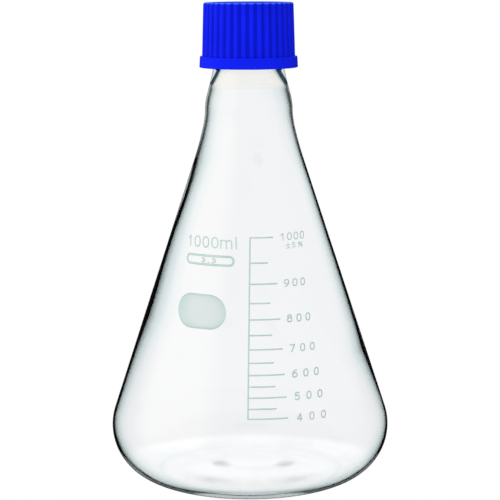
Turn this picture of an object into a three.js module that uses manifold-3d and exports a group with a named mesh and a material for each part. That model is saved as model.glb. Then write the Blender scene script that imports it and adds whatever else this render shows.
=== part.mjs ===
// Screw-cap Erlenmeyer flask of 1000 ml, in millimetres, +Z up.
// The origin is the centre of the base, on the surface that the flask stands on.
// The graduations face -Y. The cap is screwed down on the neck.

import * as THREE from "three";
import { mergeVertices } from "three/addons/utils/BufferGeometryUtils.js";
import Module from "manifold-3d";

const wasm = await Module();
wasm.setup();

const FULL_TURN = 2 * Math.PI;

// Facets around every wall turned on the flask's axis, and steps along one turn of a thread.
const FACETS = 48;
const THREAD_STEPS_PER_TURN = 32;

// Points closer than this are one point, when a geometry's loose triangles are joined.
const JOIN_DISTANCE = 1e-4;

// Glass body: a cone with a large round corner at the bottom.
const BODY_RADIUS = 65.5;
const CORNER_RADIUS = 25.4;
const CONE_ANGLE = THREE.MathUtils.degToRad(18.13);
const WALL = 2.1;
const FLOOR_RISE = 1.5;
const FLOOR_THICKNESS = 2.6;
const FOOT_RING_WIDTH = 3.6;

// Neck: the cone bends into a waist, a shoulder narrows it again, and the thread stands above that.
const WAIST_RADIUS = 20.4;
const WAIST_BOTTOM = 174.5;
const BEND_START_RADIUS = 26;
const SHOULDER_TOP = 181;
const SHOULDER_RADIUS = 17.6;
const SHOULDER_BOTTOM = 186;
const NECK_RADIUS = 16.3;
const NECK_BOTTOM = 195.5;
const BORE_RADIUS = 14;
const GLASS_TOP = 220;

// Thread: a right-hand ridge on the neck and its counterpart in the cap.
const PITCH = 4;
const THREAD_RUN_OUT = THREE.MathUtils.degToRad(45);
const THREAD_SINK = 0.4;
const NECK_THREAD = {
  depth: 1.9,
  rootWidth: 2.2,
  crestWidth: 0.9,
  bottom: 206,
  turns: 2,
};
const CAP_THREAD = {
  depth: 1.85,
  rootWidth: 2,
  crestWidth: 0.8,
  bottom: 204,
  turns: 1.5,
};

// Cap: a ribbed wall that tapers upwards, over a smooth band at the bottom.
const CAP_BOTTOM = 194.2;
const CAP_TOP = 224;
const CAP_ROOF = 2;
const CAP_CAVITY_RADIUS = 18.7;
const BAND_TOP = 199.3;
const BAND_BOTTOM_RADIUS = 22.85;
const BAND_TOP_RADIUS = 22.6;
const BAND_EDGE = 0.4;
const MOUTH_RADIUS = 19.6;
const MOUTH_CHAMFER = 1;
const MOUTH_OVERCUT = 1;
const RIB_COUNT = 36;
const RIB_DEPTH = 0.75;
const RIB_BOTTOM_RADIUS = 21.6;
const RIB_TOP_RADIUS = 20.9;
const RIB_PHASE = THREE.MathUtils.degToRad(3);
const RIB_CREST_SHARE = 0.5;
const RIB_FOOT_SHARE = 0.76;
const CAP_EDGE = 0.9;
const BEAD_RADIUS = 17.9;
const BEAD_HEIGHT = 0.5;

// Liner: the sealing disc between the cap's roof and the glass rim.
const LINER_RADIUS = 18.3;
const LINER_GAP = 0.05;
const LINER_EDGE = 0.3;

// Enamel marks stand just off the cone, with the same facets as the glass behind them.
const MARK_GAP = 0.1;
const MARK_THICKNESS = 0.25;
const MARK_BAND_MARGIN = 5;
const LINE_WIDTH = 0.6;
const MAJOR_TICK_ANGLE = THREE.MathUtils.degToRad(16.2);
const MINOR_TICK_ANGLE = THREE.MathUtils.degToRad(11.4);

// Heights of the graduations from 400 ml to 1000 ml, one every 50 ml.
const GRADUATION_HEIGHTS = [
  41.9, 46.1, 50.8, 55.5, 60.4, 65.6, 71.3, 77.4, 84.1, 91.1, 99.4, 108.5, 119.5,
];

// Marking spot: a rounded field for handwriting, to the left of the graduations.
const SPOT_AZIMUTH = THREE.MathUtils.degToRad(-28.5);
const SPOT_HEIGHT = 86.9;
const SPOT_WIDTH = 25;
const SPOT_TALL = 15.8;

const materials = {
  glass: new THREE.MeshStandardMaterial({
    color: 0xdfeae6,
    roughness: 0.03,
    metalness: 0,
    transparent: true,
    opacity: 0.35,
  }),
  plastic: new THREE.MeshStandardMaterial({ color: 0x101ce8, roughness: 0.35, metalness: 0 }),
  silicone: new THREE.MeshStandardMaterial({ color: 0xe9e6dc, roughness: 0.7, metalness: 0 }),
  enamel: new THREE.MeshStandardMaterial({ color: 0xc8dad2, roughness: 0.6, metalness: 0 }),
};

// The cone's outside: where it leaves the corner arc, and its radius at a height.
const cornerCentre = { r: BODY_RADIUS - CORNER_RADIUS, z: CORNER_RADIUS };
const coneStart = {
  r: cornerCentre.r + CORNER_RADIUS * Math.cos(CONE_ANGLE),
  z: cornerCentre.z + CORNER_RADIUS * Math.sin(CONE_ANGLE),
};

function coneRadius(z) {
  return coneStart.r - (z - coneStart.z) * Math.tan(CONE_ANGLE);
}

function coneHeight(r) {
  return coneStart.z + (coneStart.r - r) / Math.tan(CONE_ANGLE);
}

// Turns an outline of radius and height about the Z axis.
function turned(points) {
  return new THREE.LatheGeometry(points, FACETS).rotateX(Math.PI / 2);
}

// Pushes a flat outline of x and height towards -Y, starting from the plane y = 0.
function pushedForward(shape, depth) {
  const geometry = new THREE.ExtrudeGeometry(shape, { depth, bevelEnabled: false });
  return geometry.rotateX(Math.PI / 2);
}

// Joins the triangles of a closed geometry at their corners and drops those with no area.
function toSolid(geometry) {
  const bare = new THREE.BufferGeometry();
  bare.setAttribute("position", geometry.getAttribute("position"));
  bare.setIndex(geometry.getIndex());
  const joined = mergeVertices(bare, JOIN_DISTANCE);
  const corners = joined.getIndex().array;
  const kept = [];
  for (let i = 0; i < corners.length; i += 3) {
    const [a, b, c] = corners.slice(i, i + 3);
    if (a !== b && b !== c && c !== a) {
      kept.push(a, b, c);
    }
  }
  const mesh = new wasm.Mesh({
    numProp: 3,
    vertProperties: new Float32Array(joined.getAttribute("position").array),
    triVerts: new Uint32Array(kept),
  });
  return new wasm.Manifold(mesh);
}

function toGeometry(solid) {
  const mesh = solid.getMesh();
  const geometry = new THREE.BufferGeometry();
  geometry.setAttribute("position", new THREE.Float32BufferAttribute(mesh.vertProperties, 3));
  geometry.setIndex(new THREE.Uint32BufferAttribute(mesh.triVerts, 1));
  geometry.computeVertexNormals();
  return geometry;
}

function namedMesh(name, solid, material) {
  const mesh = new THREE.Mesh(toGeometry(solid), material);
  mesh.name = name;
  return mesh;
}

// A helical ridge on a wall of the given radius. A side of 1 stands it outwards and -1 inwards.
// Its height above the wall fades to nothing over the run-out at both ends.
function threadRidge(thread, wallRadius, side) {
  const section = new THREE.Shape();
  section.moveTo(-THREAD_SINK, -thread.rootWidth / 2);
  section.lineTo(0, -thread.rootWidth / 2);
  section.lineTo(thread.depth, -thread.crestWidth / 2);
  section.lineTo(thread.depth, thread.crestWidth / 2);
  section.lineTo(0, thread.rootWidth / 2);
  section.lineTo(-THREAD_SINK, thread.rootWidth / 2);
  const sweep = thread.turns * FULL_TURN;
  const steps = Math.ceil(thread.turns * THREAD_STEPS_PER_TURN);
  const geometry = new THREE.ExtrudeGeometry(section, { depth: sweep, steps, bevelEnabled: false });
  const start = side > 0 ? sweep : 0;
  const corners = geometry.getAttribute("position");
  for (let i = 0; i < corners.count; i += 1) {
    const out = corners.getX(i);
    const turn = corners.getZ(i);
    const fade = Math.min(1, turn / THREAD_RUN_OUT, (sweep - turn) / THREAD_RUN_OUT);
    const radius = wallRadius + side * (out > 0 ? out * fade : out);
    const angle = start - side * turn;
    const height = thread.bottom + (PITCH * angle) / FULL_TURN + corners.getY(i);
    corners.setXYZ(i, radius * Math.cos(angle), radius * Math.sin(angle), height);
  }
  return toSolid(geometry);
}

function point(r, z) {
  return new THREE.Vector2(r, z);
}

function arc(centre, radius, from, to, steps) {
  const clockwise = to < from;
  const curve = new THREE.EllipseCurve(centre.r, centre.z, radius, radius, from, to, clockwise);
  return curve.getPoints(steps);
}

function bend(start, control, end, steps) {
  return new THREE.QuadraticBezierCurve(start, control, end).getPoints(steps);
}

function doubleBend(start, firstControl, secondControl, end, steps) {
  return new THREE.CubicBezierCurve(start, firstControl, secondControl, end).getPoints(steps);
}

// The glass section: up the outside from the middle of the base, over the rim and down the inside.
function flaskOutline() {
  const footInner = cornerCentre.r - FOOT_RING_WIDTH;
  const bendStart = point(BEND_START_RADIUS, coneHeight(BEND_START_RADIUS));
  const bendCorner = coneHeight(WAIST_RADIUS);
  const shoulder = [point(WAIST_RADIUS, SHOULDER_TOP), point(SHOULDER_RADIUS, SHOULDER_BOTTOM)];
  const rim = (NECK_RADIUS - BORE_RADIUS) / 2;
  const rimCentre = { r: NECK_RADIUS - rim, z: GLASS_TOP - rim };
  const outside = [
    ...bend(point(0, FLOOR_RISE), point(footInner / 2, FLOOR_RISE), point(footInner, 0), 3),
    ...arc(cornerCentre, CORNER_RADIUS, -Math.PI / 2, 0, 7),
    ...arc(cornerCentre, CORNER_RADIUS, 0, CONE_ANGLE, 2),
    ...bend(bendStart, point(WAIST_RADIUS, bendCorner), point(WAIST_RADIUS, WAIST_BOTTOM), 4),
    ...doubleBend(point(WAIST_RADIUS, WAIST_BOTTOM), ...shoulder, point(NECK_RADIUS, NECK_BOTTOM), 6),
    ...arc(rimCentre, rim, 0, Math.PI, 4),
  ];

  const across = point(-WALL, 0);
  const inward = point(-WALL * Math.cos(CONE_ANGLE), -WALL * Math.sin(CONE_ANGLE));
  const innerShoulder = shoulder.map((control) => control.clone().add(across)).reverse();
  const innerWaist = point(WAIST_RADIUS - WALL, WAIST_BOTTOM);
  const floor = FLOOR_RISE + FLOOR_THICKNESS;
  const inside = [
    ...doubleBend(point(BORE_RADIUS, NECK_BOTTOM), ...innerShoulder, innerWaist, 5),
    ...bend(innerWaist, point(WAIST_RADIUS - WALL, bendCorner), bendStart.clone().add(inward), 3),
    ...arc(cornerCentre, CORNER_RADIUS - WALL, CONE_ANGLE, -Math.PI / 2, 7),
    ...bend(point(footInner, WALL), point(footInner / 2, floor), point(0, floor), 3),
  ];
  return [...outside, ...inside];
}

function flaskBody() {
  const glass = toSolid(turned(flaskOutline()));
  return glass.add(threadRidge(NECK_THREAD, NECK_RADIUS, 1));
}

// The ribbed wall's section: each rib has a flat crest, two sloping flanks and a narrow groove.
function ribbedSection(crestRadius) {
  const grooveRadius = crestRadius - RIB_DEPTH;
  const spacing = FULL_TURN / RIB_COUNT;
  const stations = [
    [-RIB_FOOT_SHARE / 2, grooveRadius],
    [-RIB_CREST_SHARE / 2, crestRadius],
    [0, crestRadius],
    [RIB_CREST_SHARE / 2, crestRadius],
    [RIB_FOOT_SHARE / 2, grooveRadius],
  ];
  const points = [];
  for (let rib = 0; rib < RIB_COUNT; rib += 1) {
    for (const [share, radius] of stations) {
      const angle = RIB_PHASE - Math.PI / 2 + (rib + share) * spacing;
      points.push(new THREE.Vector2(radius * Math.cos(angle), radius * Math.sin(angle)));
    }
  }
  return new THREE.Shape(points);
}

function ribbedWall() {
  const tall = CAP_TOP - BAND_TOP;
  const geometry = new THREE.ExtrudeGeometry(ribbedSection(RIB_BOTTOM_RADIUS), {
    depth: tall,
    bevelEnabled: false,
  });
  const corners = geometry.getAttribute("position");
  for (let i = 0; i < corners.count; i += 1) {
    const share = corners.getZ(i) / tall;
    const scale = THREE.MathUtils.lerp(1, RIB_TOP_RADIUS / RIB_BOTTOM_RADIUS, share);
    corners.setXYZ(i, corners.getX(i) * scale, corners.getY(i) * scale, BAND_TOP + corners.getZ(i));
  }
  return toSolid(geometry);
}

// The outer form that trims the ribs: the band below, and a rounded edge round the roof.
function capEnvelope() {
  const edgeBottom = point(RIB_TOP_RADIUS + 0.1, CAP_TOP - CAP_EDGE);
  const outline = [
    point(0, CAP_BOTTOM),
    point(BAND_BOTTOM_RADIUS, CAP_BOTTOM),
    point(BAND_BOTTOM_RADIUS, CAP_TOP - CAP_EDGE * 2),
    ...bend(edgeBottom, point(edgeBottom.x, CAP_TOP), point(RIB_TOP_RADIUS - CAP_EDGE, CAP_TOP), 3),
    point(0, CAP_TOP),
  ];
  return toSolid(turned(outline));
}

function capBand() {
  const edgeBottom = point(BAND_TOP_RADIUS, BAND_TOP - BAND_EDGE);
  const edgeTop = point(BAND_TOP_RADIUS - BAND_EDGE, BAND_TOP);
  const core = RIB_BOTTOM_RADIUS - RIB_DEPTH * 2;
  const outline = [
    point(0, CAP_BOTTOM),
    point(BAND_BOTTOM_RADIUS, CAP_BOTTOM),
    ...bend(edgeBottom, point(BAND_TOP_RADIUS, BAND_TOP), edgeTop, 2),
    point(core, BAND_TOP),
    point(core, BAND_TOP + RIB_DEPTH),
    point(0, BAND_TOP + RIB_DEPTH),
  ];
  return toSolid(turned(outline));
}

// The hollow under the cap: wide at the mouth, then the thread's wall, then the liner's seat
// above a low bead that keeps the liner in.
function capCavity() {
  const roof = CAP_TOP - CAP_ROOF;
  const outline = [
    point(0, CAP_BOTTOM - MOUTH_OVERCUT),
    point(MOUTH_RADIUS, CAP_BOTTOM - MOUTH_OVERCUT),
    point(MOUTH_RADIUS, BAND_TOP - MOUTH_CHAMFER),
    point(CAP_CAVITY_RADIUS, BAND_TOP),
    point(CAP_CAVITY_RADIUS, GLASS_TOP - BEAD_HEIGHT * 3),
    point(BEAD_RADIUS, GLASS_TOP - BEAD_HEIGHT),
    point(CAP_CAVITY_RADIUS, GLASS_TOP),
    point(CAP_CAVITY_RADIUS, roof),
    point(0, roof),
  ];
  return toSolid(turned(outline));
}

function screwCap() {
  const outer = ribbedWall().add(capBand()).intersect(capEnvelope());
  return outer.subtract(capCavity()).add(threadRidge(CAP_THREAD, CAP_CAVITY_RADIUS, -1));
}

function capLiner() {
  const bottom = GLASS_TOP + LINER_GAP;
  const top = CAP_TOP - CAP_ROOF - LINER_GAP;
  const outline = [
    point(0, bottom),
    point(LINER_RADIUS - LINER_EDGE, bottom),
    point(LINER_RADIUS, bottom + LINER_EDGE),
    point(LINER_RADIUS, top - LINER_EDGE),
    point(LINER_RADIUS - LINER_EDGE, top),
    point(0, top),
  ];
  return toSolid(turned(outline));
}

// A thin skin just off the cone between two heights, from which the enamel marks are cut.
function markSkin(bottom, top) {
  const inner = MARK_GAP / Math.cos(CONE_ANGLE);
  const outer = inner + MARK_THICKNESS / Math.cos(CONE_ANGLE);
  const outline = [
    point(coneRadius(bottom) + inner, bottom),
    point(coneRadius(bottom) + outer, bottom),
    point(coneRadius(top) + outer, top),
    point(coneRadius(top) + inner, top),
    point(coneRadius(bottom) + inner, bottom),
  ];
  return toSolid(turned(outline));
}

function rectangle(left, right, bottom, top) {
  const shape = new THREE.Shape();
  shape.moveTo(left, bottom);
  shape.lineTo(right, bottom);
  shape.lineTo(right, top);
  shape.lineTo(left, top);
  return shape;
}

// One upright line with a long tick at every 100 ml and a short one at every 50 ml between.
function scaleLines() {
  const half = LINE_WIDTH / 2;
  const lowest = GRADUATION_HEIGHTS[0];
  const highest = GRADUATION_HEIGHTS.at(-1);
  let lines = toSolid(pushedForward(rectangle(-half, half, lowest - half, highest + half), BODY_RADIUS));
  GRADUATION_HEIGHTS.forEach((height, step) => {
    const angle = step % 2 === 0 ? MAJOR_TICK_ANGLE : MINOR_TICK_ANGLE;
    const reach = coneRadius(height) * Math.sin(angle);
    const tick = rectangle(0, reach, height - half, height + half);
    lines = lines.add(toSolid(pushedForward(tick, BODY_RADIUS)));
  });
  return markSkin(lowest - MARK_BAND_MARGIN, highest + MARK_BAND_MARGIN).intersect(lines);
}

function markingSpot() {
  const end = SPOT_TALL / 2;
  const reach = SPOT_WIDTH / 2 - end;
  const field = new THREE.Shape();
  field.absarc(reach, SPOT_HEIGHT, end, -Math.PI / 2, Math.PI / 2, false);
  field.absarc(-reach, SPOT_HEIGHT, end, Math.PI / 2, (3 * Math.PI) / 2, false);
  const block = toSolid(pushedForward(field, BODY_RADIUS).rotateZ(SPOT_AZIMUTH));
  const bottom = SPOT_HEIGHT - end - MARK_BAND_MARGIN;
  const top = SPOT_HEIGHT + end + MARK_BAND_MARGIN;
  return markSkin(bottom, top).intersect(block);
}

const flask = new THREE.Group();
flask.add(namedMesh("flask_body", flaskBody(), materials.glass));
flask.add(namedMesh("scale_lines", scaleLines(), materials.enamel));
flask.add(namedMesh("marking_spot", markingSpot(), materials.enamel));
flask.add(namedMesh("cap_liner", capLiner(), materials.silicone));
flask.add(namedMesh("screw_cap", screwCap(), materials.plastic));

export default flask;
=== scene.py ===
"""Screw-cap Erlenmeyer flask of 1000 ml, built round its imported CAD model.

The frame is the CAD model's: +Z up, the graduations face -Y, the base stands on z = 0.
Sizes of the object are in millimetres and become metres when a mesh is made. Shaders, the
floor and the camera use metres. A tone is one grey or a colour of (red, green, blue).
"""

import math

import bpy
import numpy as np
from mathutils import Matrix


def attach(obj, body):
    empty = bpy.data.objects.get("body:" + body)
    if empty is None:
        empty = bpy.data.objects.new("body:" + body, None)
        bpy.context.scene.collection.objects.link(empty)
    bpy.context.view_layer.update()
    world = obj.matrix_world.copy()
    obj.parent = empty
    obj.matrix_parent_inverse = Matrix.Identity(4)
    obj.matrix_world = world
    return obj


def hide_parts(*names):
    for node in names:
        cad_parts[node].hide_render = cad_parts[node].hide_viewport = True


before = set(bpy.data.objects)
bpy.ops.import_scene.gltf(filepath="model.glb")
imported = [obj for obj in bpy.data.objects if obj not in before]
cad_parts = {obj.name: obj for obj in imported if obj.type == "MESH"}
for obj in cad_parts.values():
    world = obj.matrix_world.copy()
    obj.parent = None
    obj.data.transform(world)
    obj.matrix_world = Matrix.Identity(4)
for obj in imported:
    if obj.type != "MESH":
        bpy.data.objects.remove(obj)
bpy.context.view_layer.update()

MM = 0.001
FULL_TURN = 2 * math.pi

# Glass body, as in the CAD model.
BODY_RADIUS = 65.5
CORNER_RADIUS = 25.4
CONE_ANGLE = math.radians(18.13)
WALL = 2.1
FLOOR_RISE = 1.5
FLOOR_THICKNESS = 2.6
FOOT_RING_WIDTH = 3.6
WAIST_RADIUS = 20.4
WAIST_BOTTOM = 174.5
BEND_START_RADIUS = 26
SHOULDER_TOP = 181
SHOULDER_RADIUS = 17.6
SHOULDER_BOTTOM = 186
NECK_RADIUS = 16.3
NECK_BOTTOM = 195.5
BORE_RADIUS = 14
GLASS_TOP = 220
GLASS_SEGMENTS = 288
RIM_STEPS = 8

# Under the base, the wall counts as an outer wall from this radius outward.
BASE_FADE_RADIUS = 36
BASE_FADE_WIDTH = 6

# Screw thread: the ridge on the neck and its counterpart in the cap.
PITCH = 4
RUN_OUT = math.radians(45)
NECK_THREAD = {"depth": 1.9, "root": 2.2, "crest": 0.9, "bottom": 206, "turns": 2}
CAP_THREAD = {"depth": 1.85, "root": 2.0, "crest": 0.8, "bottom": 204, "turns": 1.5}
THREAD_ZONE = (203, 217.5)
CAP_THREAD_TOP = 213.5
THREAD_STEP = 0.25

# Cap, as in the CAD model.
CAP_BOTTOM = 194.2
CAP_TOP = 224
CAP_ROOF = 2
CAVITY_RADIUS = 18.7
BAND_TOP = 199.3
BAND_BOTTOM_RADIUS = 22.85
BAND_TOP_RADIUS = 22.6
BAND_EDGE = 0.35
BAND_STEP = 0.06
MOUTH_RADIUS = 19.6
MOUTH_TOP = BAND_TOP - 1.2
CAVITY_BOTTOM = BAND_TOP + 0.2
CORNER_BREAK = 0.1
BEVEL_END = 0.3
BEAD_RADIUS = 17.9
BEAD_HEIGHT = 0.5
BEAD_LOWER_SLOPE = 0.15
RIB_COUNT = 36
RIB_DEPTH = 0.75
RIB_BOTTOM_RADIUS = 21.6
RIB_TOP_RADIUS = 20.9
RIB_PHASE = math.radians(3.9)
CAP_EDGE = 0.9
CAP_EDGE_STEPS = 8
# Share of the painted highlight on the cap's top edge that is lost in the grooves.
HIGHLIGHT_LOST_IN_GROOVE = 0.7
SEGMENTS_PER_RIB = 14
ROOF_RING_RADIUS = 18.4
ROOF_DISH_RADIUS = 16.5
ROOF_DISH_DEPTH = 0.35
ROOF_DISH_SLOPE = 0.5

# Half a rib's crest and its flank, as shares of the ribs' spacing, and how much of the rib's
# depth the crest itself curves away.
CREST_SHARE = 0.2
FLANK_SHARE = 0.22
CREST_CROWN = 0.1

# Liner between the cap's roof and the rim.
LINER_RADIUS = 18.3
LINER_GAP = 0.05
LINER_EDGE = 0.3
LINER_SEGMENTS = 144

# Enamel, a thin layer just off the glass. A place on it is (u, z): the distance along the
# surface to the right of the middle of the front, and the height. Each stroke rises a little
# from its start to its end, so that it doesn't meet itself where it crosses.
ENAMEL_GAP = 0.02
ENAMEL_THICKNESS = 0.05
STROKE_LIFT = 0.006
MAX_STEP = 0.35

# Scale.
LINE_WIDTH = 0.68
LINE_BOTTOM = (-0.96, 41.9)
LINE_TOP = (0.31, 119.5)
TICK_WIDTH = LINE_WIDTH * 0.9
GRADUATION_HEIGHTS = [
    41.9, 46.1, 50.8, 55.5, 60.4, 65.6, 71.3, 77.4, 84.1, 91.1, 99.4, 108.5, 119.5,
]
FIRST_MARK_ML = 400
MARK_STEP_ML = 50
NUMERAL_STROKE = 0.6
NUMERAL_THINNING = 0.28
NUMERAL_SIZE = (2.1, 3.1)
NUMERAL_PITCH = math.radians(5.65)

# Where ticks end and numerals start, in degrees round the cone: the lowest one, and how much
# further round the highest one is.
MAJOR_TICK_END = (15.8, 1.2)
MINOR_TICK_END = (11.1, 0.6)
NUMERAL_START = (21.1, 3.5)

# Marks beside the scale, character by character: (character, u, width), and height for the
# capacity. The field's characters are placed from its centre.
TOLERANCE_LAYOUT = [("+", 18.2, 1.6), ("5", 21.2, 1.6), ("%", 24.9, 2.4)]
TOLERANCE_Z = 115.6
TOLERANCE_HEIGHT = 2.1
TOLERANCE_STROKE = 0.35
CAPACITY_LAYOUT = [
    ("1", -30.0, 2.2, 4.7),
    ("0", -25.5, 3.0, 4.7),
    ("0", -20.8, 3.0, 4.7),
    ("0", -16.1, 3.0, 4.7),
    ("m", -10.6, 5.1, 3.6),
    ("l", -6.0, 1.0, 5.1),
]
CAPACITY_BASELINE = 114.75
CAPACITY_STROKE = 0.58
FIELD_LAYOUT = [("3", -2.7, 1.7), (".", 0.0, 1.7), ("3", 2.7, 1.7)]
FIELD_CENTRE = (-19.3, 109.2)
FIELD_HALF = (12.1, 1.9)
FIELD_STROKE = 0.95
FIELD_CHARACTER_HEIGHT = 2.0
FIELD_CHARACTER_STROKE = 0.55

# Marking spot. Its colour is lighter round a point that is SPOT_MIDDLE of its half length to the
# right, within the first share below of the half length and the second of the half height.
SPOT_CENTRE = (-23.2, 86.9)
SPOT_SIZE = (25, 15.8)
SPOT_STEPS = 72
SPOT_ROWS = 10
SPOT_END_HEIGHT = 0.2
SPOT_MIDDLE = 0.1
SPOT_LIGHTER_LENGTH = 0.15
SPOT_LIGHTER_HEIGHT = 0.3

# Camera.
CAMERA_DISTANCE = 0.8526
CAMERA_HEIGHT = 0.2417
CAMERA_SIDE = 0.00028
CAMERA_PITCH = math.radians(8.89)
CAMERA_ROLL = math.radians(-0.22)
SENSOR_WIDTH = 36
LENS = 131.94

# Light, by the direction that it comes from.
WHITE = (1.0, 1.0, 1.0)
THROUGH = (0.941, 0.94, 0.955)
WARM = (1.0, 0.92, 0.72)
SOFTBOX = (-0.894, -0.29, 0.342)
FILL = (-0.62, -0.68, 0.39)

# Floor: a glowing disc. Through the glass it has tones of painted shade and light under the flask,
# from front to back, and THROUGH beyond it.
FLOOR_RADIUS = 3.0
FLOOR_HEIGHT = -0.0004
FLOOR_SEGMENTS = 96
FLOOR_UNDER_FLASK = (0.061, 0.076)
FLOOR_FRONT_TO_BACK = (-0.034, -0.004)
FLOOR_FRONT_TONE = 0.93
FLOOR_BACK_TONE = 1.08

# Glass.
GLASS_IOR = 1.473
GLASS_ABSORPTION = (0.5, 0.78, 0.8)
ABSORPTION_DENSITY = 6

# Edge lines, painted shade in the glass's colour, which are dark where the outer wall turns away
# from the eye. Depth is how far inside the outline the wall is seen. The stops of the tones are
# shares of EDGE_SPAN in depth, and the outline itself is at EDGE_START.
EDGE_SPAN = 0.012
EDGE_START = 1 / 6

# The front of the bottom corner: at depth d its height is FRONT_LOWEST + FRONT_CURVE * sqrt(d).
# There and below, the depth is multiplied by FRONT_WIDENING, which makes the painted lines wider.
FRONT_LOWEST = 0.0011
FRONT_CURVE = 0.0748
FRONT_WIDENING = 0.535
FRONT_BLEND = 0.002

# What the depth is multiplied by, above 1 for a thinner line, by share of THINNING_TOP in height.
# The left side gives way to the right between -SIDE_BLEND and SIDE_BLEND of x over the radius.
THINNING_TOP = 0.2
SIDE_BLEND = 0.7
THINNING_LEFT = [
    (0.11, 1.0),
    (0.19, 1.5),
    (0.30, 1.1),
    (0.40, 0.74),
    (0.46, 0.76),
    (0.56, 0.95),
    (0.68, 1.0),
    (0.76, 0.88),
    (0.83, 1.05),
]
THINNING_RIGHT = [
    (0.10, 1.0),
    (0.14, 1.35),
    (0.20, 2.0),
    (0.26, 1.3),
    (0.32, 0.85),
    (0.38, 1.3),
    (0.45, 1.55),
    (0.70, 1.75),
    (0.76, 1.55),
    (0.84, 1.2),
    (0.90, 0.85),
]

# How far the line on the left of the upper body moves inward, by the same share of the height,
# and where that fades out, as x over the radius.
LEFT_SHIFT = [(0.60, 0.0), (0.67, 0.055), (0.72, 0.055), (0.77, 0.0)]
LEFT_SHIFT_ZONE = (-0.9, -0.5)

# How far the line moves inward where the wall thickens towards the neck.
NECK_SHIFT = 0.002
NECK_SHIFT_ZONE = (0.1856, 0.193)

# Unevenness of the painted edge lines, as an uneven wall would make it, as a change of the depth:
# long waves, weaker at the bottom, and fine level streaks, only at the bottom.
WAVE_DEPTH = 0.0016
WAVE_ZONE = (0.008, 0.02)
WAVE_AT_BOTTOM = 0.3
STREAK_DEPTH = 0.0009
STREAK_ZONE = (0.004, 0.02)

# Tones of the painted edge lines in each zone of the body, from the outline inward.
BLACK = (0.0, 0.0, 0.0)
CONE_TONES = [
    (0.155, (0.45, 0.5, 0.5)),
    (0.185, BLACK),
    (0.285, BLACK),
    (0.35, (0.2, 0.27, 0.265)),
    (0.45, (0.55, 0.68, 0.67)),
    (0.65, (0.85, 0.94, 0.935)),
    (0.90, WHITE),
]
SHOULDER_TONES = [
    (0.16, (0.75, 0.8, 0.78)),
    (0.20, (0.34, 0.38, 0.375)),
    (0.23, (0.008, 0.012, 0.012)),
    (0.28, (0.008, 0.012, 0.012)),
    (0.32, (0.16, 0.2, 0.195)),
    (0.365, (0.42, 0.5, 0.49)),
    (0.45, (0.7, 0.79, 0.78)),
    (0.65, (0.92, 0.96, 0.955)),
    (0.90, WHITE),
]
NECK_TONES = [
    (0.00, (0.9, 0.94, 0.92)),
    (0.112, (0.86, 0.92, 0.89)),
    (0.138, (0.0, 0.002, 0.006)),
    (0.248, (0.0, 0.002, 0.006)),
    (0.282, (0.36, 0.42, 0.44)),
    (0.34, (0.85, 0.88, 0.86)),
    (0.50, WHITE),
]
CORNER_TONES = [
    (0.155, (0.35, 0.39, 0.4)),
    (0.195, (0.15, 0.18, 0.19)),
    (0.25, (0.06, 0.08, 0.09)),
    (0.275, BLACK),
    (0.325, BLACK),
    (0.375, (0.3, 0.38, 0.37)),
    (0.42, (0.56, 0.67, 0.66)),
    (0.50, (0.58, 0.7, 0.68)),
    (0.70, (0.85, 0.93, 0.92)),
    (0.95, WHITE),
]
HEEL_TONES = [
    (0.155, (0.33, 0.37, 0.39)),
    (0.19, (0.07, 0.09, 0.105)),
    (0.24, (0.015, 0.022, 0.03)),
    (0.28, (0.03, 0.04, 0.05)),
    (0.30, BLACK),
    (0.40, BLACK),
    (0.45, (0.04, 0.06, 0.065)),
    (0.53, (0.2, 0.27, 0.28)),
    (0.66, (0.55, 0.65, 0.65)),
    (1.00, WHITE),
]
FOOT_TONES = [
    (0.17, (0.78, 0.84, 0.85)),
    (0.25, (0.56, 0.63, 0.64)),
    (0.30, (0.4, 0.45, 0.46)),
    (0.317, (0.03, 0.035, 0.04)),
    (0.34, (0.03, 0.035, 0.04)),
    (0.36, (0.4, 0.46, 0.47)),
    (0.41, (0.5, 0.58, 0.59)),
    (0.52, (0.68, 0.76, 0.76)),
    (0.75, (0.9, 0.94, 0.94)),
    (1.00, WHITE),
]

# Heights between which a zone's tones take over from those of the zone before it. The foot
# takes over by the height above the underside of the bottom corner.
SHOULDER_ZONE = (0.152, 0.168)
NECK_ZONE = (0.1845, 0.187)
CORNER_ZONE = (0.010, 0.016)
HEEL_ZONE = (0.005, 0.009)
FOOT_ZONE = (0.0, 0.0004)

# The weld between shoulder and neck: tones from its lower to its upper end, and how uneven the
# heights of its bands are.
WELD_ZONE = (0.184, 0.200)
WELD_UNEVENNESS = 0.0001
WELD_TONES = [
    (0.065, WHITE),
    (0.085, (0.95, 0.955, 0.945)),
    (0.105, (0.99, 0.985, 0.955)),
    (0.30, (0.99, 0.985, 0.955)),
    (0.38, (0.975, 0.975, 0.95)),
    (0.45, (0.99, 0.99, 0.965)),
    (1.00, (0.98, 0.98, 0.96)),
]

# Two mould rings in the base, a little off its centre and clearest at the front, and one fine
# ring at its edge: real rings, whose darkness is painted shade in the glass's colour. Ring stops
# are shares of RING_SPAN by radius. Side stops go from 0 at the front and back to 1 at the sides.
RING_CENTRE = (0.0015, 0.010)
RING_SPAN = 0.06
SMALL_RING = [(0.21, 0), (0.27, 1), (0.315, 1), (0.37, 0)]
SMALL_RING_SIDES = [(0.6, 0.15), (0.84, 1.2), (0.96, 1.2), (1, 0.4)]
LARGE_RING = [(0.52, 0), (0.63, 0.75), (0.74, 0)]
LARGE_RING_SIDES = [(0.12, 0), (0.5, 1), (0.9, 0)]
EDGE_RING = [(0.70, 0), (0.725, 0.15), (0.75, 0)]
RING_BACK_STRENGTH = 0.12
RING_FRONT_TO_BACK = (-0.006, 0.004)
BASE_CLOUD = 0.08
BASE_ZONE = (0.0045, 0.006)
BASE_SHADE = (0.6, 0.64, 0.66)

# Depth of the fine grain on the moulded and fired surfaces.
CAP_GRAIN = 0.00002
ENAMEL_GRAIN = 0.00002
LINER_GRAIN = 0.00003

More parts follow.
